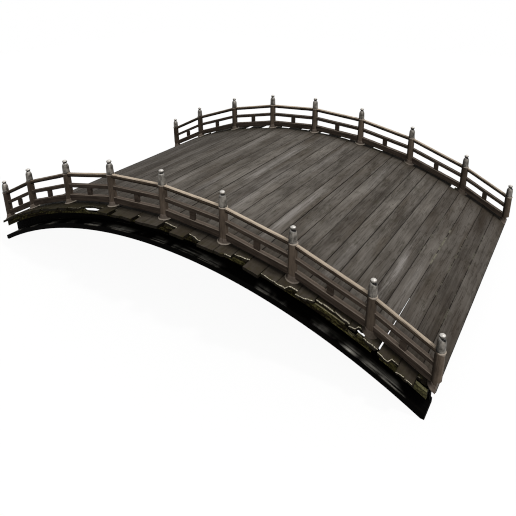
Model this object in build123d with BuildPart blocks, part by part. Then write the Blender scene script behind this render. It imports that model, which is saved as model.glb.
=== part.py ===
from build123d import *
from math import atan2, cos, sin, sqrt
import os

# All sizes in millimetres. X runs along the span, Y across the deck, Z up; Z = 0 is the
# ground the girder feet stand on, the crown of the arch is over X = 0.

# Posts set the length: three whole bays and a shorter one on each side of the crown.
post_pitch = 1818.0
end_bay_ratio = 0.778
end_post_inset = 36.0
arc_radius = 13632.0       # every long member is this arc, moved straight down
deck_half_width = 4518.0
foot_cut = 45.0            # how much of the lowest chord corner is sawn off level

# Levels, measured straight down from the top of the deck.
plank_thickness = 78.0
stringer_depth = 92.0
cross_beam_depth = 92.0
web_depth = 288.0
chord_depth = 160.0

# How far each member stops short of the deck end.
chord_inset = 107.0
web_inset = 134.0
edge_beam_inset = 146.0
stringer_inset = 154.0
end_beam_inset = 98.0      # middle of the last cross-beam, from the end of the edge beam

# How far each member stands in from the plank ends.
edge_beam_set_back = 294.0
chord_set_back = 204.0
web_set_back = 588.0
rail_set_back = 495.0

# Widths of the floor framing and girders.
edge_beam_width = 90.0
cross_beam_width = 180.0
stringer_width = 150.0
web_width = 150.0
inner_chord_width = 300.0

# Railing.
post_foot_radius = 106.0
post_neck_radius = 101.0
post_straight = 260.0
rim_radius = 112.0
rim_height = 34.0
rim_fillet = 11.0
post_height = 896.0
end_notch_height = 218.0
handrail_radius = 62.0
handrail_below_top = 88.0  # handrail centre line under the top of the post
middle_rail_top = 540.0
middle_rail_height = 98.0
middle_rail_width = 100.0
bottom_rail_top = 228.0
bottom_rail_gap = 56.0
bottom_rail_width = 114.0
strut_length = 146.0
strut_width = 88.0
fit = 0.3                  # clearance round the turned posts and collars

# Flared collar at the foot of a post: height above the deck and radius in plan.
collar_steps = [(-26.0, 168.0), (8.0, 165.0), (34.0, 143.0), (76.0, 122.0), (128.0, 113.0)]

# Metal cap, heights above its seat on the post.
sleeve_foot_radius = 96.0
sleeve_top_radius = 90.0
sleeve_height = 166.0
dome_mid = (82.0, 232.0)
dome_top = (47.0, 294.0)
neck_top = (44.0, 308.0)
bud_side = (66.0, 336.0)
bud_shoulder = (50.0, 366.0)
bud_crown = (29.0, 380.0)
bud_tip = (8.0, 384.0)

# Deck boards from left to right. Each row: right-hand seam in post pitches, then the broken
# front end and the broken back end as (share of the board's width, missing length).
boards = [
    (-3.584, ((0, 230), (1, 215)), ((0, 165), (1, 140))),
    (-3.358, ((0, 115), (1, 90)), ((0, 0), (1, 0))),
    (-3.127, ((0, 40), (1, 40)), ((0, 295), (1, 360))),
    (-2.902, ((0, 75), (1, 50)), ((0, 0), (1, 15))),
    (-2.676, ((0, 0), (1, 0)), ((0, 500), (1, 475))),
    (-2.450, ((0, 25), (1, 10)), ((0, 0), (1, 40))),
    (-2.225, ((0, 65), (1, 40)), ((0, 40), (1, 25))),
    (-1.999, ((0, 0), (1, 10)), ((0, 560), (1, 610))),
    (-1.774, ((0, 40), (1, 25)), ((0, 40), (1, 0))),
    (-1.562, ((0, 90), (1, 75)), ((0, 640), (1, 600))),
    (-1.323, ((0, 10), (1, 40)), ((0, 0), (1, 0))),
    (-1.084, ((0, 370), (1, 345)), ((0, 640), (1, 600))),
    (-0.844, ((0, 40), (1, 0)), ((0, 240), (1, 280))),
    (-0.605, ((0, 0), (1, 10)), ((0, 430), (1, 460))),
    (-0.380, ((0, 25), (1, 0)), ((0, 0), (1, 0))),
    (-0.154, ((0, 0), (1, 0)), ((0, 450), (1, 430))),
    (0.085, ((0, 0), (1, 40)), ((0, 0), (1, 15))),
    (0.316, ((0, 320), (1, 280)), ((0, 480), (1, 460))),
    (0.542, ((0, 0), (1, 0)), ((0, 0), (1, 0))),
    (0.767, ((0, 225), (1, 150)), ((0, 450), (1, 470))),
    (1.015, ((0, 0), (1, 30)), ((0, 40), (1, 0))),
    (1.246, ((0, 40), (0.54, 40), (0.58, 110), (1, 140)), ((0, 0), (1, 0))),
    (1.458, ((0, 245), (1, 305)), ((0, 500), (1, 490))),
    (1.683, ((0, 20), (1, 5)), ((0, 0), (1, 40))),
    (1.900, ((0, 130), (1, 120)), ((0, 50), (1, 15))),
    (2.148, ((0, 110), (0.5, 110), (0.55, 245), (1, 245)), ((0, 0), (1, 0))),
    (2.360, ((0, 145), (0.5, 170), (1, 300)), ((0, 100), (1, 75))),
    (2.585, ((0, 345), (1, 345)), ((0, 0), (1, 0))),
    (2.794, ((0, 355), (1, 320)), ((0, 25), (1, 40))),
    (2.981, ((0, 280), (0.4, 320), (0.45, 460), (0.95, 460), (1, 380)),
     ((0, 600), (0.55, 600), (0.6, 90), (1, 60))),
    (3.163, ((0, 245), (1, 255)), ((0, 40), (1, 0))),
    (3.394, ((0, 180), (0.55, 165), (0.6, 295), (1, 295)), ((0, 0), (1, 0))),
    (3.592, ((0, 90), (1, 130)), ((0, 90), (1, 65))),
    (3.798, ((0, 205), (1, 270)), ((0, 165), (1, 190))),
]
blank_reach = 40.0         # how far the curved blank runs past the plank ends before they are cut
open_seam = 3.165          # the seam that gapes, in post pitches
open_seam_width = 20.0
open_seam_ends = (280.0, 2270.0)   # its two ends, measured in from the front plank ends
rot_pocket = (-1.386, -1.029)      # where the front edge beam has rotted, in post pitches
rot_pocket_depth = 77.0

os.makedirs("parts", exist_ok=True)


def arc_drop(x):
    return arc_radius - sqrt(arc_radius**2 - x**2)


stringer_top = -plank_thickness
cross_beam_top = stringer_top - stringer_depth
web_top = cross_beam_top - cross_beam_depth
chord_top = web_top - web_depth
chord_bottom = chord_top - chord_depth
handrail_level = post_height - handrail_below_top
end_post_x = post_pitch * (3 + end_bay_ratio)
deck_half_length = end_post_x + end_post_inset
chord_half_length = deck_half_length - chord_inset
web_half_length = deck_half_length - web_inset
edge_beam_half_length = deck_half_length - edge_beam_inset
stringer_half_length = deck_half_length - stringer_inset
edge_beam_face = deck_half_width - edge_beam_set_back
outer_chord_face = deck_half_width - chord_set_back
web_outer_face = deck_half_width - web_set_back
rail_row = deck_half_width - rail_set_back
inner_row = (web_outer_face - web_width / 2) / 3
crown = arc_drop(chord_half_length) - chord_bottom - foot_cut
post_x = [-end_post_x] + [post_pitch * i for i in range(-3, 4)] + [end_post_x]
bay_ends = [-deck_half_length] + post_x[1:-1] + [deck_half_length]
bay_middles = [(a + b) / 2 for a, b in zip(post_x, post_x[1:])]
sides = {"front": -1, "back": 1}


def deck_z(x, level=0.0):
    """Height of the arc whose crown lies `level` above the deck."""
    return crown + level - arc_drop(x)


def side_plane(y):
    """Upright plane along the span; what is extruded from it runs towards -Y."""
    return Plane.XZ.offset(-y)


def arched_bar(x0, x1, top, bottom, y0, y1, mode=Mode.ADD):
    """A bar between two levels under the arc, with plumb ends."""
    middle = (x0 + x1) / 2
    with BuildSketch(side_plane(y1)) as outline:
        with BuildLine():
            upper = [(x, deck_z(x, top)) for x in (x0, middle, x1)]
            lower = [(x, deck_z(x, bottom)) for x in (x1, middle, x0)]
            ThreePointArc(*upper)
            Line(upper[-1], lower[0])
            ThreePointArc(*lower)
            Line(lower[-1], upper[0])
        make_face()
    extrude(outline.sketch, amount=y1 - y0, mode=mode)


def below_deck(mode=Mode.SUBTRACT):
    """Everything under the walking surface, to saw feet to the slope of the deck."""
    reach = deck_half_length + post_straight
    with BuildSketch(side_plane(deck_half_width)) as outline:
        with BuildLine():
            ThreePointArc((-reach, deck_z(reach)), (0, deck_z(0)), (reach, deck_z(reach)))
            Polyline((reach, deck_z(reach)), (reach, -crown), (-reach, -crown), (-reach, deck_z(reach)))
        make_face()
    extrude(outline.sketch, amount=2 * deck_half_width, mode=mode)


def post_body(x, y, grow=0.0, mode=Mode.ADD):
    """Turned post: straight foot, tapered shaft, raised rim under the cap."""
    base = deck_z(x)
    rim_foot = post_height - rim_height
    foot = -post_straight
    with BuildSketch(Plane(origin=(x, y, base), x_dir=(1, 0, 0), z_dir=(0, -1, 0))) as outline:
        with BuildLine():
            Polyline(
                (0, foot),
                (post_foot_radius + grow, foot),
                (post_foot_radius + grow, post_straight),
                (post_neck_radius + grow, rim_foot - rim_fillet - grow),
                (rim_radius + grow, rim_foot - grow),
                (rim_radius + grow, post_height - rim_fillet),
                (rim_radius - rim_fillet + grow, post_height + grow),
                (0, post_height + grow),
                close=True,
            )
        make_face()
    revolve(outline.sketch, axis=Axis((x, y, 0), (0, 0, 1)), mode=mode)


def collar_body(x, y, grow=0.0, mode=Mode.ADD):
    """Bell-shaped collar that leans with the slope of the deck but is round in plan."""
    lean = atan2(x, sqrt(arc_radius**2 - x**2))
    rings = []
    for rise, radius in collar_steps:
        plane = Plane(
            origin=(x, y, deck_z(x, rise)),
            x_dir=(cos(lean), 0, -sin(lean)),
            z_dir=(sin(lean), 0, cos(lean)),
        )
        with BuildSketch(plane) as ring:
            Ellipse((radius + grow) / cos(lean), radius + grow)
        rings.append(ring.sketch)
    loft(rings, mode=mode)


def end_notch(y):
    """Flush saw cut that trims the foot of each end post to the end of the deck."""
    height = end_notch_height + 2 * post_straight
    for s in (-1, 1):
        outer = deck_half_length + post_straight
        top = deck_z(deck_half_length, end_notch_height)
        with Locations((s * (deck_half_length + outer) / 2, y, top - height / 2)):
            Box(outer - deck_half_length, 4 * rim_radius, height, mode=Mode.SUBTRACT)


def save(builder, node):
    builder.part.label = node
    export_step(builder.part, f"parts/{node}.step")


def broken_edge(side, s):
    """Plan of all the broken plank ends along one edge, left to right."""
    points = []
    left = -deck_half_length
    for board in boards:
        right = min(board[0] * post_pitch, deck_half_length)
        for share, missing in board[side]:
            point = (left + share * (right - left), s * (deck_half_width - missing))
            if point not in points[-1:]:
                points.append(point)
        left = right
    return points


# Deck, one panel per bay: cross planks with broken ends at both edges and one gaping seam.
deck_plan = broken_edge(1, -1) + broken_edge(2, 1)[::-1]
blank_half_width = deck_half_width + blank_reach
seam_middle = (sum(open_seam_ends) / 2) - deck_half_width
for number, (x0, x1) in enumerate(zip(bay_ends, bay_ends[1:]), start=1):
    with BuildPart() as deck_bay:
        arched_bar(x0, x1, 0, stringer_top, -blank_half_width, blank_half_width)
        with BuildSketch(Plane.XY):
            Polygon(*deck_plan, align=None)
        extrude(amount=crown, mode=Mode.INTERSECT)
        with BuildSketch(Plane.XY):
            with Locations((open_seam * post_pitch, seam_middle)):
                Rectangle(open_seam_width, open_seam_ends[1] - open_seam_ends[0])
        extrude(amount=crown, mode=Mode.SUBTRACT)
    save(deck_bay, f"deck_bay_{number}")

# Edge beams under the plank ends; the top of the front one has rotted below the shortest plank.
for side, s in sides.items():
    faces = sorted((s * edge_beam_face, s * (edge_beam_face - edge_beam_width)))
    with BuildPart() as edge_beam:
        arched_bar(-edge_beam_half_length, edge_beam_half_length, stringer_top, web_top, *faces)
        if side == "front":
            rot_ends = [post_pitch * share for share in rot_pocket]
            arched_bar(*rot_ends, 0, stringer_top - rot_pocket_depth, *faces, mode=Mode.SUBTRACT)
    save(edge_beam, f"edge_beam_{side}")

# Stringers along the span carry the planks between the edge beams.
with BuildPart() as stringers:
    for row in (-inner_row, inner_row):
        faces = (row - stringer_width / 2, row + stringer_width / 2)
        arched_bar(-stringer_half_length, stringer_half_length, stringer_top, cross_beam_top, *faces)
save(stringers, "stringers")

# Cross-beams from edge beam to edge beam, one at each pair of posts.
beam_reach = edge_beam_face - edge_beam_width
end_beam_x = edge_beam_half_length - end_beam_inset
with BuildPart() as cross_beams:
    for x in [-end_beam_x] + post_x[1:-1] + [end_beam_x]:
        ends = (x - cross_beam_width / 2, x + cross_beam_width / 2)
        arched_bar(*ends, cross_beam_top, web_top, -beam_reach, beam_reach)
save(cross_beams, "cross_beams")

# Four arched girders, each an upright web on a flat bottom chord. The chords of the outer two
# lie to the outside of their webs, the chords of the inner two under the middle.
inner_web = (inner_row - web_width / 2, inner_row + web_width / 2)
inner_chord = (inner_row - inner_chord_width / 2, inner_row + inner_chord_width / 2)
outer_web = (web_outer_face - web_width, web_outer_face)
outer_chord = (web_outer_face - web_width, outer_chord_face)
for side, s in sides.items():
    for place, web_faces, chord_faces in (("", outer_web, outer_chord), ("inner_", inner_web, inner_chord)):
        name = place + side
        with BuildPart() as web:
            faces = sorted(s * face for face in web_faces)
            arched_bar(-web_half_length, web_half_length, web_top, chord_top, *faces)
        save(web, f"girder_web_{name}")
        with BuildPart() as chord:
            faces = sorted(s * face for face in chord_faces)
            arched_bar(-chord_half_length, chord_half_length, chord_top, chord_bottom, *faces)
            split(bisect_by=Plane.XY, keep=Keep.TOP)
        save(chord, f"girder_chord_{name}")

# Railing: turned posts, flared collars, metal caps and four lines of rail on each side.
for side, s in sides.items():
    row = s * rail_row
    with BuildPart() as posts:
        for x in post_x:
            post_body(x, row)
        below_deck()
        end_notch(row)
    save(posts, f"posts_{side}")

    with BuildPart() as collars:
        for x in post_x:
            collar_body(x, row)
        for x in post_x:
            post_body(x, row, grow=fit, mode=Mode.SUBTRACT)
        below_deck()
        end_notch(row)
    save(collars, f"post_collars_{side}")

    with BuildPart() as caps:
        for x in post_x:
            seat = Plane(origin=(x, row, deck_z(x, post_height)), x_dir=(1, 0, 0), z_dir=(0, -1, 0))
            with BuildSketch(seat):
                with BuildLine():
                    Polyline((0, 0), (sleeve_foot_radius, 0), (sleeve_top_radius, sleeve_height))
                    ThreePointArc((sleeve_top_radius, sleeve_height), dome_mid, dome_top)
                    Line(dome_top, neck_top)
                    ThreePointArc(neck_top, bud_side, bud_shoulder)
                    ThreePointArc(bud_shoulder, bud_crown, bud_tip)
                    Polyline(bud_tip, (0, bud_tip[1]), (0, 0))
                make_face()
            revolve(axis=Axis((x, row, 0), (0, 0, 1)))
    save(caps, f"post_caps_{side}")

    with BuildPart() as handrail:
        with BuildLine(side_plane(row)) as run:
            ends = [(x, deck_z(x, handrail_level)) for x in (-end_post_x, 0, end_post_x)]
            ThreePointArc(*ends)
        with BuildSketch(Plane(origin=run.line @ 0, z_dir=run.line % 0)):
            Circle(handrail_radius)
        sweep(path=run.line)
        for x in post_x:
            post_body(x, row, grow=fit, mode=Mode.SUBTRACT)
            with Locations((x, row, deck_z(x, post_height + sleeve_height / 2))):
                Cylinder(sleeve_foot_radius + fit, sleeve_height, mode=Mode.SUBTRACT)
    save(handrail, f"handrail_{side}")

    with BuildPart() as middle_rail:
        faces = (row - middle_rail_width / 2, row + middle_rail_width / 2)
        arched_bar(-end_post_x, end_post_x, middle_rail_top, middle_rail_top - middle_rail_height, *faces)
        for x in post_x:
            post_body(x, row, grow=fit, mode=Mode.SUBTRACT)
    save(middle_rail, f"middle_rail_{side}")

    with BuildPart() as bottom_rail:
        faces = (row - bottom_rail_width / 2, row + bottom_rail_width / 2)
        arched_bar(-end_post_x, end_post_x, bottom_rail_top, bottom_rail_gap, *faces)
        for x in post_x:
            post_body(x, row, grow=fit, mode=Mode.SUBTRACT)
        for x in post_x:
            collar_body(x, row, grow=fit, mode=Mode.SUBTRACT)
    save(bottom_rail, f"bottom_rail_{side}")

    with BuildPart() as rail_struts:
        faces = (row - strut_width / 2, row + strut_width / 2)
        for x in bay_middles:
            ends = (x - strut_length / 2, x + strut_length / 2)
            arched_bar(*ends, middle_rail_top - middle_rail_height, bottom_rail_top, *faces)
    save(rail_struts, f"rail_struts_{side}")
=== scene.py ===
import math
import random

import bpy
import numpy as np
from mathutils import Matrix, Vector, noise


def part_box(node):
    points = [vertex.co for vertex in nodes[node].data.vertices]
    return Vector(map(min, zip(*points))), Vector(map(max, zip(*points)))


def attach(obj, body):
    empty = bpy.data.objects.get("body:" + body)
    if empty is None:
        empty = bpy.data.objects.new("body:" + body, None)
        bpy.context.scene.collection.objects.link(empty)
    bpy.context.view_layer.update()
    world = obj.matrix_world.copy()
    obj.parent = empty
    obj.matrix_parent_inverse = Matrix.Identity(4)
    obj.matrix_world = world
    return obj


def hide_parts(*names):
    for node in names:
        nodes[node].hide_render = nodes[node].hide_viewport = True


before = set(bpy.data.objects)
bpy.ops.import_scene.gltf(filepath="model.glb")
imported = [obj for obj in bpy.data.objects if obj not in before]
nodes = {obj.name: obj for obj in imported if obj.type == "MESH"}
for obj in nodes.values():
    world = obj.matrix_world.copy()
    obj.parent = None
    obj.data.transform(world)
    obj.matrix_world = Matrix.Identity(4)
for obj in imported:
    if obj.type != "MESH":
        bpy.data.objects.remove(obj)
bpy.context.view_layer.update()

# Girders: four arched beams under the floor, each an upright web on a flat bottom chord.
# They are heavy softwood sawn to the curve, black with age and water, the chords bolted up
# from below; the outer chords' tops carry painted light and sheen in patches, where light falls
# between the broken planks, and a painted highlight runs along the upper edge of their faces.
ARC_RADIUS = 13.632                                   # metres, the curve of the deck and of every beam
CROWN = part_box("deck_bay_4")[1].z                     # height of the walking surface at the crown
WEB_TOP = -0.262                                      # top of the webs, from the walking surface
CHORD_TOP = -0.550                                    # top of the bottom chords
BEAM_STEP = 0.02                                      # from one ring of a worn beam's mesh to the next
THINNEST = 0.012                                      # where less than this is left, the timber is gone
GAMMA = 2.2                                           # of the screen colours that rgb takes


def arc_drop(x):
    return ARC_RADIUS - math.sqrt(ARC_RADIUS**2 - x**2)


class Shader:
    """A material under construction, with short ways to add and join its nodes."""

    def __init__(self, name):
        self.material = bpy.data.materials.new(name)
        self.material.use_nodes = True
        self.tree = self.material.node_tree
        self.surface = self.tree.nodes["Principled BSDF"]
        self.place = self.add("ShaderNodeTexCoord").outputs["Object"]

    def add(self, kind, inputs=None, **settings):
        node = self.tree.nodes.new(kind)
        for key, value in settings.items():
            setattr(node, key, value)
        for key, value in (inputs or {}).items():
            self.set(node.inputs[key], value)
        return node

    def set(self, socket, value):
        if isinstance(value, bpy.types.NodeSocket):
            self.tree.links.new(value, socket)
        else:
            socket.default_value = value

    def math(self, operation, a, b=0.0):
        return self.add("ShaderNodeMath", {0: a, 1: b}, operation=operation).outputs[0]

    def axes(self, vector):
        return self.add("ShaderNodeSeparateXYZ", {0: vector}).outputs

    def vector(self, x, y, z):
        return self.add("ShaderNodeCombineXYZ", {0: x, 1: y, 2: z}).outputs[0]

    def along_arch(self):
        """Place with its height measured from the arch, so that grain follows the curve."""
        x, y, z = self.axes(self.place)
        inside = self.math("SUBTRACT", ARC_RADIUS**2, self.math("MULTIPLY", x, x))
        drop = self.math("SUBTRACT", ARC_RADIUS, self.math("SQRT", inside))
        return self.vector(x, y, self.math("ADD", self.math("SUBTRACT", z, CROWN), drop))

    def noise(self, vector, stretch, detail=4.0, rough=0.6, shift=0.0):
        """Noise from 0 to 1; stretch is how many cells there are in a metre along each axis."""
        mapped = self.add("ShaderNodeMapping", {"Vector": vector, "Location": (shift,) * 3, "Scale": stretch})
        inputs = {"Vector": mapped.outputs[0], "Scale": 1.0, "Detail": detail, "Roughness": rough}
        return self.add("ShaderNodeTexNoise", inputs).outputs["Fac"]

    def steps(self, value, low, high):
        """0 below low, 1 above high and smooth between them."""
        inputs = {"Value": value, "From Min": low, "From Max": high}
        return self.add("ShaderNodeMapRange", inputs, interpolation_type="SMOOTHSTEP").outputs[0]

    def mix(self, share, a, b):
        """Colour a where share is 0 and colour b where it is 1."""
        node = self.add("ShaderNodeMix", data_type="RGBA")
        self.set(node.inputs[0], share)
        self.set(node.inputs[6], a)
        self.set(node.inputs[7], b)
        return node.outputs[2]

    def upward(self, low=0.35, high=0.85):
        """1 on faces that look up, 0 on upright ones and undersides."""
        z = self.axes(self.add("ShaderNodeNewGeometry").outputs["True Normal"])[2]
        return self.steps(z, low, high)

    def shaded(self):
        """Painted shade: 1 on faces turned away from the front right, 0 on those turned to it."""
        x, y, _ = self.axes(self.add("ShaderNodeNewGeometry").outputs["True Normal"])
        toward = self.math("SUBTRACT", self.math("MULTIPLY", x, 0.82), self.math("MULTIPLY", y, 0.57))
        return self.steps(toward, 0.52, -0.08)

    def downward(self):
        """1 on undersides, 0 on upright faces."""
        z = self.axes(self.add("ShaderNodeNewGeometry").outputs["True Normal"])[2]
        return self.steps(z, 0.05, -0.55)

    def finish(self, colour, roughness, height, depth, sheen=0.04):
        """Puts colour, roughness and a bump of that depth in metres on the surface."""
        self.surface.inputs["Specular IOR Level"].default_value = sheen
        bump = self.add("ShaderNodeBump", {"Height": height, "Strength": 1.0, "Distance": depth})
        self.set(self.surface.inputs["Base Color"], colour)
        self.set(self.surface.inputs["Roughness"], roughness)
        self.set(self.surface.inputs["Normal"], bump.outputs[0])
        return self.material


def rgb(red, green, blue):
    """A screen colour of 0 to 255 as the linear values that a node takes."""
    return tuple((c / 255) ** GAMMA for c in (red, green, blue)) + (1.0,)


def dress(node, material):
    """Gives a CAD node that material in place of its plain one."""
    mesh = nodes[node].data
    mesh.materials.clear()
    mesh.materials.append(material)


def girder_wood():
    s = Shader("girder_wood")
    place = s.along_arch()
    grain = s.noise(place, (0.7, 30.0, 30.0), detail=6.0)
    patches = s.noise(place, (1.5, 0.8, 0.3), detail=3.0, rough=0.5, shift=2.0)
    colour = s.mix(s.steps(grain, 0.4, 0.8), rgb(4, 3, 3), rgb(16, 14, 12))
    fibres = s.noise(place, (1.2, 16.0, 4.0), detail=5.0, rough=0.65, shift=9.0)
    # Painted light and sheen in patches on the outer edge of the outer chords' tops.
    outer = s.steps(s.math("ABSOLUTE", s.axes(place)[1]), 4.05, 4.31)
    wear_and_light = s.math("MULTIPLY", s.math("MULTIPLY", s.upward(), outer), s.steps(patches, 0.44, 0.68))
    wear_and_light = s.math("MULTIPLY", wear_and_light, s.steps(fibres, 0.34, 0.68))
    colour = s.mix(wear_and_light, colour, rgb(152, 149, 141))
    # Painted highlight in patches along the upper edge of the chords' side faces.
    level = s.axes(place)[2]
    above = s.steps(level, CHORD_TOP - 0.030, CHORD_TOP - 0.005)
    painted_arris_highlight = s.math("MULTIPLY", above, s.steps(level, CHORD_TOP + 0.004, CHORD_TOP))
    painted_arris_highlight = s.math("MULTIPLY", painted_arris_highlight, s.math("SUBTRACT", 1.0, s.upward()))
    colour = s.mix(s.math("MULTIPLY", painted_arris_highlight, s.steps(patches, 0.5, 0.62)), colour, rgb(86, 83, 76))
    return s.finish(colour, 0.8, grain, 0.003, sheen=0.02)


def worn_beam(name, node, levels, crumble, rot):
    """A long arched beam as wide as its CAD node, its top eaten away unevenly and rotted in places."""
    low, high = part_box(node)
    count = int((high.x - low.x) / BEAM_STEP) + 1
    points, whole = [], []
    for i in range(count):
        x = low.x + (high.x - low.x) * i / (count - 1)
        rough = noise.noise(Vector((x * 6, low.y, 0))) + 0.6 * noise.noise(Vector((x * 30, 0, low.y)))
        lost = crumble * (1 + rough)
        for middle, half, depth in rot:
            lost += depth * max(0.0, 1 - ((x - middle) / half) ** 4)
        height = levels[0] - levels[1] - lost
        whole.append(height > THINNEST)
        base = CROWN - arc_drop(x) + levels[1]
        top = base + max(height, THINNEST)
        bulge = crumble * 0.6 * noise.noise(Vector((x * 4, 1.0, low.y)))
        nick = crumble * (1.4 + 0.8 * noise.noise(Vector((x * 18, 3.0, low.y))))
        y0, y1 = low.y + crumble * 0.6 + bulge, high.y - crumble * 0.6 + bulge
        points += [(x, y0, base), (x, y0, top - nick), (x, y0 + nick, top)]
        points += [(x, y1 - nick, top), (x, y1, top - nick), (x, y1, base)]
    faces = []
    for i in range(count - 1):
        if whole[i] and whole[i + 1]:
            for k in range(6):
                a, b = i * 6 + k, i * 6 + (k + 1) % 6
                faces.append((b, a, a + 6, b + 6))
    for i in range(count):
        before = i > 0 and whole[i - 1]
        after = i < count - 1 and whole[i + 1]
        if whole[i] and before != after:
            cap = [i * 6 + k for k in range(6)]
            faces.append(cap if after else cap[::-1])
    mesh = bpy.data.meshes.new(name)
    mesh.from_pydata(points, [], faces)
    mesh.validate()
    return mesh


def add_piece(mesh, material, slot_name, *replaced):
    """Puts a mesh in the scene as a piece of the bridge."""
    piece = bpy.data.objects.new(mesh.name, mesh)
    bpy.context.scene.collection.objects.link(piece)
    mesh.materials.append(material)
    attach(piece, "root")
    if replaced:
        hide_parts(*replaced)
    return piece


girder_finish = girder_wood()
for name in nodes:
    if name.startswith("girder_"):
        dress(name, girder_finish)
# The front web has rotted down from its top in three places: middle, half length, depth.
WEB_ROT = [(-3.02, 0.42, 0.100), (5.20, 0.15, 0.190), (5.64, 0.08, 0.210)]
front_web = worn_beam("rotted_web_front", "girder_web_front", (WEB_TOP, CHORD_TOP), 0.004, WEB_ROT)
add_piece(front_web, girder_finish, "girder_wood", "girder_web_front")

# Floor framing: cross-beams lie over the girders at each pair of posts and stringers run along
# over them to carry the planks, all of the same black timber; edge beams close the sides and
# catch the rain off the plank ends, so moss grows down their faces.
for name in ("cross_beams", "stringers"):
    dress(name, girder_finish)

THICKNESS = 0.078                                     # of the planks, which lie on the edge beams
BEAM_LEVELS = (-THICKNESS, WEB_TOP)                   # top and bottom of the edge beams
# Where a beam has rotted: place along the span, half length, and how deep from the top.
ROT = {
    "front": [(-2.42, 0.50, 0.150), (5.12, 0.14, 0.120), (5.66, 0.13, 0.190), (0.37, 0.2, 0.030),
              (-3.2, 0.12, 0.05)],
    "back": [(5.02, 0.17, 0.190), (-3.75, 0.25, 0.09), (-2.35, 0.3, 0.09), (-0.5, 0.25, 0.09),
             (0.9, 0.2, 0.07)],
}


def edge_wood():
    s = Shader("edge_wood")
    place = s.along_arch()
    grain = s.noise(place, (0.8, 40.0, 40.0), detail=6.0)
    damp = s.noise(place, (1.1, 5.0, 7.0), detail=6.0, rough=0.7)
    tufts = s.noise(place, (16.0, 22.0, 22.0), detail=5.0, rough=0.75)
    colour = s.mix(s.steps(grain, 0.3, 0.75), rgb(9, 7, 5), rgb(34, 28, 20))
    moss = s.mix(s.steps(tufts, 0.35, 0.7), rgb(38, 36, 20), rgb(98, 93, 60))
    covered = s.math("ADD", s.math("MULTIPLY", damp, 0.75), s.math("MULTIPLY", tufts, 0.25))
    colour = s.mix(s.steps(covered, 0.45, 0.58), colour, moss)
    # Painted light on the tops of the edge beams.
    painted_top_light = s.mix(s.steps(grain, 0.42, 0.62), rgb(40, 36, 24), rgb(128, 122, 96))
    colour = s.mix(s.math("MULTIPLY", s.upward(), 0.8), colour, painted_top_light)
    # the right-hand end lies open to the sun, and the moss on it is thick and pale
    open_end = s.math("MULTIPLY", s.steps(s.axes(place)[0], 5.9, 6.4), s.steps(tufts, 0.2, 0.75))
    sunny = s.math("ADD", 0.4, s.math("MULTIPLY", s.upward(), 0.4))
    colour = s.mix(s.math("MULTIPLY", open_end, sunny), colour, rgb(116, 114, 82))
    height = s.math("ADD", grain, s.math("MULTIPLY", tufts, 1.5))
    return s.finish(colour, 0.9, height, 0.005)


edge_finish = edge_wood()
for side in ("front", "back"):
    beam = worn_beam(f"mossy_edge_beam_{side}", f"edge_beam_{side}", BEAM_LEVELS, 0.007, ROT[side])
    add_piece(beam, edge_finish, "edge_wood", f"edge_beam_{side}")

# Deck: thirty-four cross planks about 0.41 m wide and 78 mm thick, silver-grey and worn by feet,
# nailed down side by side from edge to edge. Their ends are broken off unevenly, some as far
# back as the railing, and rain keeps the seams and the ends dark and mossy.
HALF_WIDTH = 4.518                                    # from the middle to the ends of whole boards
DECK_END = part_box("deck_bay_8")[1].x
SEAM_GAP = 0.005
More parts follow.
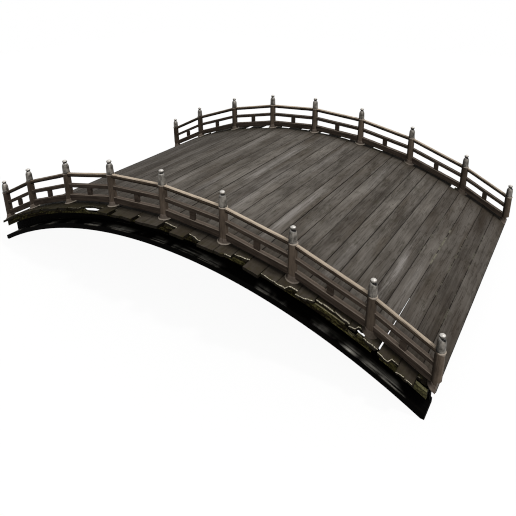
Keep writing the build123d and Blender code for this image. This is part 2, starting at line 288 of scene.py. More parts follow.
# The one seam that gapes: its place, where it starts and ends, and how far each board draws back
# from it at points across the deck. Under it the board on the left is rotted away.
OPEN_SEAM = 5.750
OPEN_FROM, OPEN_TO = -4.28, -2.24
OPEN_AT = (-4.28, -4.00, -3.92, -3.30, -2.24)
OPEN_BY = (0.017, 0.016, 0.010, 0.006, 0.001)
ROTTED_UNDER = 0.070
BOARDS = [
    # right-hand seam, then front and back end as (share of the width, length broken off)
    (-6.515, ((0, 0.23), (1, 0.215)), ((0, 0.165), (1, 0.14))),
    (-6.105, ((0, 0.115), (1, 0.09)), ((0, 0), (1, 0))),
    (-5.685, ((0, 0.04), (1, 0.04)), ((0, 0.295), (1, 0.36))),
    (-5.275, ((0, 0.075), (1, 0.05)), ((0, 0), (1, 0.015))),
    (-4.865, ((0, 0), (1, 0)), ((0, 0.5), (1, 0.475))),
    (-4.455, ((0, 0.025), (1, 0.01)), ((0, 0), (1, 0.04))),
    (-4.045, ((0, 0.065), (1, 0.04)), ((0, 0.04), (1, 0.025))),
    (-3.635, ((0, 0), (1, 0.01)), ((0, 0.56), (1, 0.61))),
    (-3.225, ((0, 0.04), (1, 0.025)), ((0, 0.04), (1, 0))),
    (-2.840, ((0, 0.09), (1, 0.075)), ((0, 0.64), (1, 0.6))),
    (-2.405, ((0, 0.01), (0.1, 0.02), (0.22, 0.25), (1, 0.29)), ((0, 0), (1, 0))),
    (-1.970, ((0, 0.29), (0.5, 0.26), (1, 0.28)), ((0, 0.64), (1, 0.6))),
    (-1.535, ((0, 0.04), (1, 0)), ((0, 0.24), (1, 0.28))),
    (-1.100, ((0, 0.27), (0.3, 0.25), (0.36, 0.01), (1, 0.01)), ((0, 0.43), (1, 0.46))),
    (-0.690, ((0, 0.025), (1, 0)), ((0, 0), (1, 0))),
    (-0.280, ((0, 0.26), (0.28, 0.24), (0.34, 0), (1, 0)), ((0, 0.45), (1, 0.43))),
    (0.155, ((0, 0), (1, 0.04)), ((0, 0), (1, 0.015))),
    (0.575, ((0, 0.32), (1, 0.28)), ((0, 0.48), (1, 0.46))),
    (0.985, ((0, 0), (1, 0)), ((0, 0), (1, 0))),
    (1.395, ((0, 0.225), (1, 0.15)), ((0, 0.45), (1, 0.47))),
    (1.845, ((0, 0), (1, 0.03)), ((0, 0.04), (1, 0))),
    (2.265, ((0, 0.04), (0.54, 0.04), (0.58, 0.11), (1, 0.14)), ((0, 0), (1, 0))),
    (2.650, ((0, 0.245), (1, 0.305)), ((0, 0.5), (1, 0.49))),
    (3.060, ((0, 0.02), (1, 0.005)), ((0, 0), (1, 0.04))),
    (3.455, ((0, 0.13), (1, 0.12)), ((0, 0.05), (1, 0.015))),
    (3.905, ((0, 0.11), (0.5, 0.11), (0.55, 0.245), (1, 0.245)), ((0, 0), (1, 0))),
    (4.290, ((0, 0.145), (0.5, 0.17), (1, 0.3)), ((0, 0.1), (1, 0.075))),
    (4.700, ((0, 0.345), (1, 0.345)), ((0, 0), (1, 0))),
    (5.080, ((0, 0.355), (1, 0.32)), ((0, 0.025), (1, 0.04))),
    (5.420, ((0, 0.28), (0.4, 0.32), (0.45, 0.42), (0.95, 0.43), (1, 0.38)),
     ((0, 0.6), (0.55, 0.6), (0.6, 0.09), (1, 0.06))),
    (5.750, ((0, 0.245), (1, 0.255)), ((0, 0.04), (1, 0))),
    (6.170, ((0, 0.18), (0.55, 0.165), (0.6, 0.295), (1, 0.295)), ((0, 0), (1, 0))),
    (6.530, ((0, 0.09), (1, 0.13)), ((0, 0.09), (1, 0.065))),
    (6.904, ((0, 0.40), (1, 0.46)), ((0, 0.165), (1, 0.19))),
]
COLUMNS = 18                                          # mesh columns across a board
ROWS = 96                                             # mesh rows along a board
# Greys of the boards from left to right, 0 darkest and 1 palest.
TONES = [0.45, 0.4, 0.55, 0.4, 0.5, 0.38, 0.52, 0.45, 0.35, 0.5, 0.42, 0.55, 0.4, 0.6, 0.45, 0.5, 0.62,
         0.5, 0.4, 0.58, 0.5, 0.45, 0.62, 0.45, 0.5, 0.38, 0.5, 0.4, 0.55, 0.42, 0.6, 0.5, 0.35, 0.5]
# How dark the seam on the right of each board is.
SEAMS = [0.4, 0.3, 0.4, 0.3, 0.6, 0.3, 0.4, 0.5, 0.3, 0.6, 0.3, 0.4, 1.0, 0.3, 1.0, 0.5, 1.0,
         0.4, 0.4, 0.5, 1.0, 0.8, 1.0, 0.7, 0.8, 1.0, 1.0, 1.0, 0.9, 0.8, 0.8, 0.7, 0.8, 0.3]
# Where pale lichen has grown along a seam: the board on its left, from where to where across the
# deck, and how thick it is.
LICHEN = {30: (-1.0, 2.0, 0.35), 31: (-0.65, 2.05, 1.0), 32: (-1.6, 1.8, 0.5), 33: (-2.5, 2.4, 0.45)}
LIFT, TILT = 0.0025, 0.003                            # how far a board lies high or low, and tips
WANDER = 0.002                                        # how far a seam strays from straight
WAVE = 0.0018                                         # how uneven the top of a board is
BROKEN = 0.06                                         # an end that lacks more than this was snapped off
WHOLE_RAG, SNAPPED_RAG = 0.006, 0.028                 # how ragged a whole end is, and a snapped one more
UNDER_RAG = 1.6                                       # times as ragged on the underside
# How deep the long edges and the snapped ends are worn down, and how far in from them.
EDGE_WEAR, EDGE_REACH = 0.006, 0.008
END_WEAR, END_REACH = 0.010, 0.03
# How far in from them the dark seams, the lichen, the damp tips and the painted highlight on snapped ends
# reach.
SEAM_REACH, LICHEN_REACH, TIP_REACH, END_HIGHLIGHT_REACH = 0.0075, 0.009, 0.16, 0.03
# Boards with a broader painted highlight along the break, and how far it reaches.
WIDE_END_HIGHLIGHT = {18: 0.05, 26: 0.05, 28: 0.075, 29: 0.075}
# Pale worn streaks and dark damp ones on the boards: middle along the span, half width, from where
# to where across the deck, and strength, above 0 paler and below 0 darker.
STREAKS = [
    (0.38, 0.10, -0.8, 2.4, 0.9), (-1.32, 0.08, -2.5, 3.0, 0.6), (0.95, 0.22, -3.6, 0.2, 0.5),
    (2.38, 0.10, -3.0, -0.2, 0.9), (5.22, 0.09, -3.6, 0.2, 1.0), (5.62, 0.08, -3.2, -0.8, 0.6),
    (4.15, 0.10, -3.7, -1.8, 0.5), (-0.35, 0.12, -3.4, -1.2, 0.6), (-2.9, 0.10, -1.5, 3.2, 0.5),
    (-4.0, 0.10, -2.5, 2.0, 0.5), (1.6, 0.09, 0.5, 3.2, 0.6), (3.3, 0.08, 0.4, 3.4, 0.5),
    (2.5, 0.16, 0.6, 3.8, -0.6), (5.25, 0.14, 1.5, 3.8, -0.7), (6.34, 0.18, 2.2, 3.9, -0.9),
    (3.65, 0.18, -3.5, 3.5, -0.3), (6.7, 0.2, -4.0, -1.0, -0.5), (-3.4, 0.12, -3.6, -0.5, -0.4),
]
STREAK_FADE = 0.25                                    # over which a streak comes and goes at its ends


def broken_length(profile, share):
    """How much of the board is missing at that share of its width."""
    shares = [p[0] for p in profile]
    lengths = [p[1] for p in profile]
    return float(np.interp(share, shares, lengths))


def splinter(x, seed, size):
    """Ragged outline of a snapped end: long splinters with finer ones on them."""
    long = noise.noise(Vector((x * 8, seed * 5.3, 0.5)))
    fine = noise.noise(Vector((x * 60, seed * 9.1, 4.5)))
    return size * (0.8 * long + 0.45 * fine)


def streak_at(x, y):
    """Strength of the worn and damp streaks together at a place on the deck."""
    total = 0
    for middle, half, start, stop, strength in STREAKS:
        here = strength * math.exp(-((x - middle) / half) ** 2)
        here = here / (1 + math.exp((start - y) / STREAK_FADE))
        total += here / (1 + math.exp((y - stop) / STREAK_FADE))
    return total


def board_mesh(number, left, right, front, back, seam_left, seam_right):
    """One board between its two seams, tipped, worn and broken, with the painted values on its points."""
    shares = np.array([0.5 - 0.5 * math.cos(math.pi * i / (COLUMNS - 1)) for i in range(COLUMNS)])
    travel = np.array([0.5 - 0.5 * math.cos(math.pi * i / (ROWS - 1)) for i in range(ROWS)])
    dice = random.Random(number)
    lift = dice.uniform(-LIFT, LIFT)
    tilt = dice.uniform(-TILT, TILT)
    z_left = CROWN - arc_drop(left) + lift - tilt
    z_right = CROWN - arc_drop(right) + lift + tilt
    top, bottom, seam, tip, snap, lichen, streaks = [], [], [], [], [], [], []
    for share in shares:
        missing = [broken_length(front, share), broken_length(back, share)]
        x_mean = left + share * (right - left)
        rag = [splinter(x_mean, number + 40 * i, WHOLE_RAG + SNAPPED_RAG * (m > BROKEN))
               for i, m in enumerate(missing)]
        ends = [-HALF_WIDTH + max(missing[0] + rag[0], 0.0), HALF_WIDTH - max(missing[1] + rag[1], 0.0)]
        under = [-HALF_WIDTH + max(missing[0] + UNDER_RAG * rag[1], 0.0),
                 HALF_WIDTH - max(missing[1] + UNDER_RAG * rag[0], 0.0)]
        for t in travel:
            y = ends[0] + t * (ends[1] - ends[0])
            y_under = under[0] + t * (under[1] - under[0])
            gapes = OPEN_FROM < y < OPEN_TO
            opened = float(np.interp(y, OPEN_AT, OPEN_BY)) * gapes
            gap_left = SEAM_GAP / 2 + opened * (left == OPEN_SEAM)
            gap_right = SEAM_GAP / 2 + opened * (right == OPEN_SEAM)
            x0 = left + gap_left + WANDER * noise.noise(Vector((left * 3, y * 2.2, number)))
            x1 = right - gap_right + WANDER * noise.noise(Vector((right * 3, y * 2.2, number + 7)))
            x = x0 + share * (x1 - x0)
            side = min(x - x0, x1 - x)
            end = min(y - ends[0], ends[1] - y)
            wear_and_light = EDGE_WEAR * math.exp(-side / EDGE_REACH)
            wear_and_light += END_WEAR * math.exp(-end / END_REACH) * (max(missing) > BROKEN)
            wave = WAVE * noise.noise(Vector((x * 5, y * 0.9, number * 3.1)))
            z = z_left + share * (z_right - z_left)
            rotted = ROTTED_UNDER * share * gapes * (right == OPEN_SEAM)
            top.append((x, y, z - wear_and_light + wave))
            bottom.append((x - rotted, y_under, z - THICKNESS))
            near_left = x - x0 < x1 - x
            seam.append(0.9 * (seam_left if near_left else seam_right) * math.exp(-side / SEAM_REACH))
            streaks.append(streak_at(x, y))
            low, high, growth = LICHEN.get(number - near_left, (0.0, 0.0, 0.0))
            lichen.append(growth * (low < y < high) * math.exp(-side / LICHEN_REACH))
            tip.append(math.exp(-end / TIP_REACH))
            nearer = missing[0] if y < 0 else missing[1]
            snap.append((nearer > BROKEN) * math.exp(-end / WIDE_END_HIGHLIGHT.get(number, END_HIGHLIGHT_REACH)))
    count = COLUMNS * ROWS
    faces = []
    for i in range(COLUMNS - 1):
        for j in range(ROWS - 1):
            a, b = i * ROWS + j, (i + 1) * ROWS + j
            faces.append((a, b, b + 1, a + 1))
            faces.append((count + a + 1, count + b + 1, count + b, count + a))
    rim = [i * ROWS for i in range(COLUMNS)]
    rim += [(COLUMNS - 1) * ROWS + j for j in range(1, ROWS)]
    rim += [i * ROWS + ROWS - 1 for i in range(COLUMNS - 2, -1, -1)]
    rim += list(range(ROWS - 2, 0, -1))
    for a, b in zip(rim, rim[1:] + rim[:1]):
        faces.append((b, a, count + a, count + b))
    mesh = bpy.data.meshes.new(f"board_{number:02d}")
    mesh.from_pydata(top + bottom, [], faces)
    painted = {"seam": seam, "tip": tip, "snap": snap, "lichen": lichen, "streaks": streaks,
               "tone": [TONES[number - 1]] * count, "seed": [number * 3.7] * count}
    for name, values in painted.items():
        below = [0.0] * count if name == "snap" else values
        mesh.attributes.new(name, "FLOAT", "POINT").data.foreach_set("value", values + below)
    mesh.validate()
    return mesh


def deck_wood():
    s = Shader("deck_wood")
    value = {name: s.add("ShaderNodeAttribute", attribute_name=name).outputs["Fac"]
             for name in ("seam", "tip", "snap", "tone", "seed", "lichen", "streaks")}
    x, y, z = s.axes(s.place)
    place = s.vector(x, y, s.math("ADD", z, value["seed"]))
    fibre = s.noise(place, (26.0, 0.8, 0.6), detail=6.0, rough=0.7)
    streak = s.noise(place, (8.0, 0.25, 0.6), detail=6.0, rough=0.65)
    cloud = s.noise(place, (2.2, 0.6, 0.6), detail=6.0, rough=0.65, shift=3.0)
    speck = s.noise(place, (60.0, 14.0, 0.6), detail=3.0, shift=8.0)
    share = s.math("ADD", s.math("MULTIPLY", fibre, 0.4), s.math("MULTIPLY", streak, 0.35))
    share = s.math("ADD", share, s.math("MULTIPLY", cloud, 0.65))
    share = s.math("ADD", share, s.math("MULTIPLY", value["tone"], 0.6))
    pale = s.math("MAXIMUM", value["streaks"], 0.0)
    dull = s.math("MAXIMUM", s.math("MULTIPLY", value["streaks"], -1.0), 0.0)
    colour = s.mix(s.steps(share, 0.62, 1.38), rgb(43, 39, 35), rgb(117, 112, 106))
    brown = s.steps(s.noise(place, (3.0, 0.4, 0.6), shift=21.0), 0.45, 0.7)
    colour = s.mix(s.math("MULTIPLY", brown, 0.55), colour, rgb(67, 60, 52))
    colour = s.mix(s.math("MULTIPLY", s.steps(speck, 0.62, 0.8), 0.4), colour, rgb(40, 36, 32))
    blotch = s.steps(s.noise(place, (6.0, 2.6, 0.6), detail=5.0, rough=0.7, shift=15.0), 0.52, 0.66)
    colour = s.mix(s.math("MULTIPLY", blotch, 0.42), colour, rgb(52, 50, 41))
    rings = s.noise(place, (9.0, 0.5, 0.6), detail=3.0, rough=0.6, shift=31.0)
    crack = s.steps(s.math("ABSOLUTE", s.math("SUBTRACT", rings, 0.5)), 0.022, 0.006)
    colour = s.mix(s.math("MULTIPLY", crack, 0.42), colour, rgb(34, 30, 26))
    wear_and_highlight = s.math("MULTIPLY", pale, s.steps(share, 0.75, 1.2))
    wear_and_highlight = s.math("MULTIPLY", wear_and_highlight, s.steps(fibre, 0.30, 0.60))
    colour = s.mix(s.math("MULTIPLY", wear_and_highlight, 0.85), colour, rgb(134, 130, 127))
    colour = s.mix(s.math("MULTIPLY", dull, 0.6), colour, rgb(40, 33, 27))
    not_pale = s.math("SUBTRACT", 1.0, s.math("MULTIPLY", pale, 0.8))
    low_end = s.math("MULTIPLY", s.steps(x, 3.9, 5.9), not_pale)
    colour = s.mix(s.math("MULTIPLY", low_end, 0.28), colour, rgb(38, 32, 28))
    near_rail = s.steps(s.math("MULTIPLY", y, -1.0), 2.3, 3.5)
    colour = s.mix(s.math("MULTIPLY", near_rail, 0.28), colour, rgb(34, 30, 26))
    far_left = s.steps(s.math("MULTIPLY", x, -1.0), 0.8, 4.0)
    colour = s.mix(s.math("MULTIPLY", far_left, 0.22), colour, rgb(36, 31, 26))
    across = s.math("ABSOLUTE", y)
    left_end = s.steps(s.math("MULTIPLY", x, -1.0), 0.2, 2.4)
    damp_share = s.math("ADD", 0.62, s.math("MULTIPLY", left_end, 0.2))
    outside = s.math("MULTIPLY", s.steps(across, 3.2, 4.1), damp_share)
    damp_wood = s.mix(left_end, rgb(54, 48, 40), rgb(40, 36, 25))
    colour = s.mix(outside, colour, damp_wood)
    # Painted shadow in a strip on the planks under and beside each bottom rail.
    painted_rail_shadow = s.steps(s.math("ABSOLUTE", s.math("SUBTRACT", across, 4.01)), 0.15, 0.06)
    colour = s.mix(s.math("MULTIPLY", painted_rail_shadow, 0.8), colour, rgb(14, 11, 9))
    colour = s.mix(value["seam"], colour, rgb(9, 7, 6))
    patchy = s.steps(s.noise(s.place, (3.0, 3.0, 3.0), detail=4.0, shift=12.0), 0.45, 0.58)
    grown = s.math("MULTIPLY", s.math("MULTIPLY", value["lichen"], patchy), 0.8)
    colour = s.mix(grown, colour, rgb(138, 135, 118))
    mossy = s.steps(s.noise(s.place, (9.0, 9.0, 9.0), detail=5.0, rough=0.7, shift=5.0), 0.45, 0.62)
    damp = s.math("MULTIPLY", value["tip"], mossy)
    colour = s.mix(s.math("MULTIPLY", damp, 0.6), colour, rgb(52, 49, 27))
    # Painted shade on the ends and undersides of the planks.
    painted_shade_below = s.math("SUBTRACT", 1.0, s.upward())
    colour = s.mix(s.math("MULTIPLY", painted_shade_below, 0.7), colour, rgb(18, 15, 12))
    # Painted highlight along the top edge of snapped ends, weaker at the left end and left off the last
    # board.
    painted_end_highlight = s.math("MULTIPLY", s.steps(value["snap"], 0.7, 0.88), s.steps(speck, 0.36, 0.56))
    end_highlight_share = s.math("ADD", 0.2, s.math("MULTIPLY", s.steps(x, -1.8, -0.4), 0.8))
    end_highlight_share = s.math("MULTIPLY", end_highlight_share, s.steps(x, 6.60, 6.52))
    colour = s.mix(s.math("MULTIPLY", painted_end_highlight, end_highlight_share), colour, rgb(200, 192, 170))
    height = s.math("ADD", fibre, s.math("MULTIPLY", streak, 0.6))
    roughness = s.math("SUBTRACT", 0.86, s.math("MULTIPLY", streak, 0.2))
    return s.finish(colour, roughness, height, 0.002)


deck_finish = deck_wood()
seam_x = [-DECK_END] + [board[0] for board in BOARDS[:-1]] + [DECK_END]
for number, (_, front, back) in enumerate(BOARDS, start=1):
    left, right = seam_x[number - 1], seam_x[number]
    dark_left = SEAMS[number - 2] if number > 1 else 0.2
    mesh = board_mesh(number, left, right, front, back, dark_left, SEAMS[number - 1])
    bays = [name for name in nodes if name.startswith("deck_bay_")
            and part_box(name)[0].x - 0.001 <= (left + right) / 2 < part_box(name)[1].x]
    add_piece(mesh, deck_finish, "deck_wood", *bays)

# Posts: nine turned round posts a side, tenoned into the deck, with a flared collar planted
# round the foot of each. The wood has weathered grey-brown, darker low down.
POST_TOP = (0.870, 0.892)                             # the rim at the top, from the walking surface


def post_wood(name, dark, pale, left_tone, rim_highlight_share):
    s = Shader(name)
    fibre = s.noise(s.place, (60.0, 60.0, 2.0), detail=5.0)
    broad = s.noise(s.place, (6.0, 6.0, 1.5), detail=3.0)
    cloud = s.noise(s.place, (5.0, 5.0, 3.0), detail=4.0, shift=4.0)
    share = s.math("ADD", s.math("MULTIPLY", fibre, 0.35), s.math("MULTIPLY", broad, 0.4))
    share = s.math("ADD", share, s.math("MULTIPLY", cloud, 0.25))
    colour = s.mix(s.steps(share, 0.32, 0.66), dark, pale)
    along, _, level = s.axes(s.along_arch())
    low_end = s.math("MULTIPLY", s.steps(along, 3.0, 5.2), s.steps(along, 6.6, 6.0))
    colour = s.mix(s.math("MULTIPLY", low_end, 0.35), colour, rgb(38, 33, 27))
    colour = s.mix(s.math("MULTIPLY", s.steps(along, -2.2, -4.5), 0.55), colour, left_tone)
    darker_low = s.math("SUBTRACT", 1.0, s.steps(level, 0.02, 0.14))
    colour = s.mix(s.math("MULTIPLY", darker_low, 0.45), colour, rgb(44, 40, 32))
    # Painted shade on the side turned away from the front right.
    colour = s.mix(s.math("MULTIPLY", s.shaded(), 0.7), colour, rgb(19, 16, 13))
    # Painted highlights on the rim at the post top and round the foot, fading out towards the right-hand end.
    painted_foot_highlight = s.math("MULTIPLY", s.steps(level, 0.035, 0.015), s.steps(along, 4.6, 2.6))
    painted_rim_highlights = s.math("MAXIMUM", s.steps(level, *POST_TOP), painted_foot_highlight)
    colour = s.mix(s.math("MULTIPLY", painted_rim_highlights, rim_highlight_share), colour, rgb(176, 165, 152))
    return s.finish(colour, 0.6, fibre, 0.001, sheen=0.08)


post_finish = post_wood("post_wood", rgb(56, 48, 41), rgb(104, 92, 81), rgb(40, 34, 28), 0.6)
collar_finish = post_wood("collar_wood", rgb(76, 67, 60), rgb(124, 112, 103), rgb(132, 120, 108), 0.6)
for side in ("front", "back"):
    dress(f"posts_{side}", post_finish)
    dress(f"post_collars_{side}", collar_finish)

# Post caps: onion-shaped covers beaten from sheet metal and slipped over the post tops. They have
# gone dull and mottled grey, with painted highlight on the shoulder and the bud and painted shade
# on the side turned away from the front right.
CAP_NECK = 1.198                                      # the dark groove under the bud, from the deck


def cap_metal():
    s = Shader("cap_metal")
    blotch = s.noise(s.place, (9.0, 9.0, 6.0), detail=4.0, rough=0.6)
    dents = s.noise(s.place, (24.0, 24.0, 18.0), detail=2.0, shift=2.0)
    colour = s.mix(s.steps(blotch, 0.35, 0.65), rgb(70, 67, 62), rgb(130, 125, 118))
    # Painted shade on the side turned away from the front right.
    colour = s.mix(s.math("MULTIPLY", s.shaded(), 0.6), colour, rgb(22, 20, 18))
    # Painted highlight on the faces that look up.
    colour = s.mix(s.math("MULTIPLY", s.upward(), 0.75), colour, rgb(214, 210, 204))
    level = s.axes(s.along_arch())[2]
    # Painted shade in the groove under the bud; the seat at the foot of the cap is darker too.
    painted_neck_shade = s.steps(s.math("ABSOLUTE", s.math("SUBTRACT", level, CAP_NECK)), 0.024, 0.012)
    seat = s.steps(level, 0.925, 0.905)
    colour = s.mix(s.math("MAXIMUM", painted_neck_shade, s.math("MULTIPLY", seat, 0.7)), colour, rgb(14, 12, 10))
    s.surface.inputs["Metallic"].default_value = 0.4
    roughness = s.math("ADD", 0.36, s.math("MULTIPLY", blotch, 0.2))
    return s.finish(colour, roughness, s.math("ADD", dents, blotch), 0.0008, sheen=0.2)


cap_finish = cap_metal()
for side in ("front", "back"):
    dress(f"post_caps_{side}", cap_finish)

# Rails: a round handrail let into the post tops, a flat middle rail and a deep bottom rail let
# into the posts, and a short strut between those two in the middle of each bay. Each is a straight
# length of softwood from post to post, the lower rails browner than the handrail. Painted light
# makes the tops paler, the handrail's most, with painted highlights on the flat rails' chamfers
# and painted shade on the undersides.
PITCH, END_POST = 1.818, 6.868                        # from post to post, and out to the end posts
POSTS = [-END_POST] + [PITCH * i for i in range(-3, 4)] + [END_POST]
ROW = 4.023                                           # from the middle of the bridge to a railing
# Middle of each rail above the walking surface at the posts, its height and its width.
RAILS = {"handrail": (0.842, 0.124, 0.124), "middle_rail": (0.523, 0.114, 0.100),
         "bottom_rail": (0.167, 0.188, 0.114)}
LET_IN = 0.06                                         # a rail ends this far short of a post's middle
STRUT_FOOT, STRUT_HEAD = 0.250, 0.476                 # ends of a strut, above the line of the post feet
STRUT_DEPTH, STRUT_WIDTH = 0.088, 0.146               # across and along the railing
CHAMFER = 0.013                                       # of the flat rails' and struts' corners
ROUND_SIDES = 14                                      # faces round the handrail
RAIL_STEP = 0.06                                      # from one ring of a timber's mesh to the next
UNEVEN = 0.05                                         # share by which a timber's faces swell and shrink


def outline(round_section, height, width):
    """The section of a rail, as (across, up) points that go round it."""
    if round_section:
        turns = [2 * math.pi * (k + 0.5) / ROUND_SIDES for k in range(ROUND_SIDES)]
        return [(width / 2 * math.cos(t), height / 2 * math.sin(t)) for t in turns]
    cut, half, up = CHAMFER, width / 2, height / 2
    return [(half, -up + cut), (half, up - cut), (half - cut, up), (-half + cut, up),
            (-half, up - cut), (-half, -up + cut), (-half + cut, -up), (half - cut, -up)]


def swept(section, start, end, seed):
    """One straight timber from start to end, its faces a little uneven."""
    rings = max(2, int((end - start).length / RAIL_STEP))
    sideways, upward = Vector((0, 1, 0)), Vector((0, 0, 1))
    if end.z - start.z > abs(end.x - start.x):        # a strut, which stands upright
        sideways, upward = Vector((1, 0, 0)), Vector((0, 1, 0))
    points, faces = [], []
    size = len(section)
    for i in range(rings + 1):
        middle = start.lerp(end, i / rings)
        for k, (across, up) in enumerate(section):
            wave = 1 + UNEVEN * noise.noise(Vector((middle.x * 5, k * 0.9, seed)))
            points.append(middle + sideways * across * wave + upward * up * wave)
    for i in range(rings):
        for k in range(size):
            a, b = i * size + k, i * size + (k + 1) % size
            faces.append((a, b, b + size, a + size))
    faces.append(list(range(size))[::-1])
    faces.append([rings * size + k for k in range(size)])
    return points, faces


def timbers(name, lengths):
    """Several timbers as one mesh."""
    points, faces = [], []
    for seed, (section, start, end) in enumerate(lengths):
        more_points, more_faces = swept(section, start, end, seed)
        faces += [[len(points) + k for k in face] for face in more_faces]
        points += more_points
    mesh = bpy.data.meshes.new(name)
    mesh.from_pydata(points, [], faces)
    mesh.validate()
    return mesh


def rail_wood(name, dark, pale, top_light, wear_and_highlight):
    s = Shader(name)
    place = s.along_arch()
    fibre = s.noise(place, (1.6, 45.0, 45.0), detail=5.0)
    broad = s.noise(place, (1.1, 12.0, 12.0), detail=5.0)
    cloud = s.noise(place, (3.0, 5.0, 5.0), detail=4.0, shift=6.0)
    share = s.math("ADD", s.math("MULTIPLY", fibre, 0.4), s.math("MULTIPLY", broad, 0.4))
    share = s.math("ADD", share, s.math("MULTIPLY", cloud, 0.2))
    colour = s.mix(s.steps(share, 0.32, 0.66), dark, pale)
    along = s.axes(place)[0]
    # Painted light on the tops, weakest at the left end and a little weaker towards the right.
    sunny = s.math("ADD", 0.25, s.math("MULTIPLY", s.steps(along, -6.0, -1.5), 0.6))
    sunny = s.math("SUBTRACT", sunny, s.math("MULTIPLY", s.steps(along, 2.5, 5.5), 0.2))
    colour = s.mix(s.math("MULTIPLY", s.upward(0.55, 0.85), sunny), colour, top_light)
    # Painted highlight on the chamfers.
    painted_arris_highlight = s.math("MULTIPLY", s.upward(0.3, 0.6), s.math("SUBTRACT", 1.0, s.upward(0.8, 0.92)))
    colour = s.mix(s.math("MULTIPLY", painted_arris_highlight, wear_and_highlight), colour, rgb(150, 138, 126))
    # Painted shade on the undersides.
    colour = s.mix(s.math("MULTIPLY", s.downward(), 0.9), colour, rgb(10, 8, 6))
    return s.finish(colour, 0.8, s.math("ADD", fibre, broad), 0.0015)


handrail_finish = rail_wood("handrail_wood", rgb(38, 32, 27), rgb(76, 67, 58), rgb(186, 171, 153), 0.0)
rail_finish = rail_wood("rail_wood", rgb(38, 33, 29), rgb(76, 67, 60), rgb(108, 97, 88), 0.5)
for side, row in (("front", -ROW), ("back", ROW)):
    for part, (level, height, width) in RAILS.items():
        lengths = []
        for left, right in zip(POSTS, POSTS[1:]):
            section = outline(part == "handrail", height, width)
            at_left = Vector((left, row, CROWN - arc_drop(left) + level))
            at_right = Vector((right, row, CROWN - arc_drop(right) + level))
            short = LET_IN / (right - left)
            lengths.append((section, at_left.lerp(at_right, short), at_right.lerp(at_left, short)))
        finish = handrail_finish if part == "handrail" else rail_finish
        add_piece(timbers(f"{part}s_{side}", lengths), finish, "rail_wood", f"{part}_{side}")
    lengths = []
    for left, right in zip(POSTS, POSTS[1:]):
        middle = (left + right) / 2
        mean = CROWN - (arc_drop(left) + arc_drop(right)) / 2
        section = outline(False, STRUT_DEPTH, STRUT_WIDTH)
        foot = Vector((middle, row, mean + STRUT_FOOT))
        lengths.append((section, foot, foot + Vector((0, 0, STRUT_HEAD - STRUT_FOOT))))
    add_piece(timbers(f"struts_{side}", lengths), rail_finish, "rail_wood", f"rail_struts_{side}")

# Setting: a pale level floor in a white room, a lamp high on the right, a softer one low from the
# front right and even light from above. Neither the floor nor the room belongs to the bridge.
FLOOR_HALF = 40.0


def seen_directly(s):
    """1 for rays that show the background itself or its reflection."""
    path = s.add("ShaderNodeLightPath").outputs
    seen = s.math("MAXIMUM", path["Is Camera Ray"], path["Is Glossy Ray"])
    return s.math("MAXIMUM", seen, path["Is Transmission Ray"])


corners = [(FLOOR_HALF * x, FLOOR_HALF * y, 0) for x, y in ((-1, -1), (1, -1), (1, 1), (-1, 1))]
floor_mesh = bpy.data.meshes.new("floor")
floor_mesh.from_pydata(corners, [], [(0, 1, 2, 3)])
floor = bpy.data.objects.new("floor", floor_mesh)
bpy.context.scene.collection.objects.link(floor)
s = Shader("floor_paint")
cloud = s.noise(s.place, (0.3, 0.3, 0.3))
pale = s.mix(cloud, (0.88, 0.88, 0.88, 1), (0.92, 0.92, 0.92, 1))
shown = s.mix(seen_directly(s), (0.2, 0.2, 0.2, 1), pale)
s.finish(shown, 0.9, cloud, 0.001)
white = s.add("ShaderNodeEmission", {"Color": (1, 1, 1, 1), "Strength": 1.0}).outputs[0]
share = s.math("MULTIPLY", seen_directly(s), 0.94)
both = s.add("ShaderNodeMixShader", {0: share, 1: s.surface.outputs[0], 2: white}).outputs[0]
s.set(s.tree.nodes["Material Output"].inputs["Surface"], both)
floor_mesh.materials.append(s.material)

world = bpy.data.worlds.new("room")
bpy.context.scene.world = world
world.use_nodes = True
tree = world.node_tree
soft = tree.nodes["Background"]
soft.inputs["Color"].default_value = (1.0, 0.99, 0.97, 1)
direction = tree.nodes.new("ShaderNodeTexCoord")
height = tree.nodes.new("ShaderNodeSeparateXYZ")
tree.links.new(direction.outputs["Generated"], height.inputs[0])
overhead = tree.nodes.new("ShaderNodeMapRange")       # brighter above than along the horizon
overhead.inputs["From Min"].default_value = 0.15
overhead.inputs["From Max"].default_value = 0.9
overhead.inputs["To Min"].default_value = 0.06
overhead.inputs["To Max"].default_value = 1.0
tree.links.new(height.outputs[2], overhead.inputs[0])
tree.links.new(overhead.outputs[0], soft.inputs["Strength"])
plain = tree.nodes.new("ShaderNodeBackground")
path = tree.nodes.new("ShaderNodeLightPath")
any_seen = tree.nodes.new("ShaderNodeMath")
any_seen.operation = "ADD"
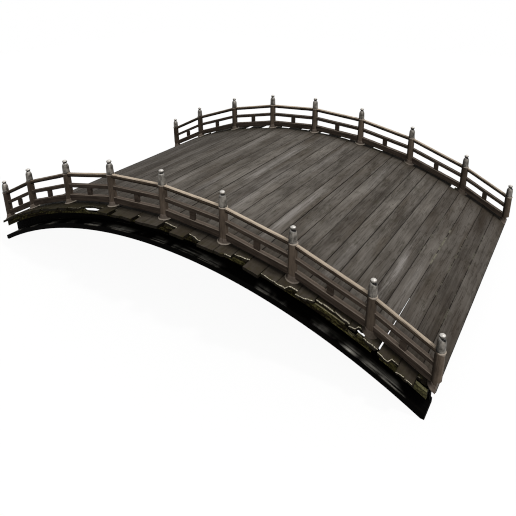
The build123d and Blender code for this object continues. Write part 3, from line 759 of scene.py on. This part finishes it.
any_seen.use_clamp = True
tree.links.new(path.outputs["Is Camera Ray"], any_seen.inputs[0])
tree.links.new(path.outputs["Is Glossy Ray"], any_seen.inputs[1])
with_glass = tree.nodes.new("ShaderNodeMath")
with_glass.operation = "MAXIMUM"
tree.links.new(any_seen.outputs[0], with_glass.inputs[0])
tree.links.new(path.outputs["Is Transmission Ray"], with_glass.inputs[1])
plain.inputs["Color"].default_value = (1, 1, 1, 1)
blend = tree.nodes.new("ShaderNodeMixShader")
tree.links.new(with_glass.outputs[0], blend.inputs[0])
tree.links.new(soft.outputs[0], blend.inputs[1])
tree.links.new(plain.outputs[0], blend.inputs[2])
tree.links.new(blend.outputs[0], tree.nodes["World Output"].inputs["Surface"])

LAMPS = [
    # where the light comes from, strength and how soft it is in degrees
    ("key", (0.55, 0.15, 1.0), 1.5, 6),
    ("front", (0.79, -0.62, 0.42), 1.0, 14),
]
for name, toward, strength, softness in LAMPS:
    lamp = bpy.data.lights.new(name, "SUN")
    lamp.energy = strength
    lamp.angle = math.radians(softness)
    holder = bpy.data.objects.new(name, lamp)
    holder.rotation_euler = Vector(toward).to_track_quat("Z", "Y").to_euler()
    bpy.context.scene.collection.objects.link(holder)

# Camera: stands in front of the bridge near its right-hand end, higher than the railings, and looks
# down and back across the deck. The picture's middle lies off the lens axis, as the photograph's does.
EYE = (8.2852, -12.3637, 5.9436)                      # the height is above the crown of the deck
LOOK = (-0.48852673, 0.79673311, -0.3557499)
camera = bpy.data.objects.new("camera", bpy.data.cameras.new("camera"))
bpy.context.scene.collection.objects.link(camera)
camera.location = (EYE[0], EYE[1], CROWN + EYE[2])
camera.rotation_euler = Vector(LOOK).to_track_quat("-Z", "Y").to_euler()
camera.data.sensor_width = 36
camera.data.lens = 36.066
camera.data.shift_x = -0.03126
camera.data.shift_y = -0.19525
camera.data.clip_end = 200
bpy.context.scene.camera = camera
bpy.context.scene.view_settings.view_transform = "Standard"
bpy.context.scene.cycles.filter_width = 1.05          # the photograph is crisp
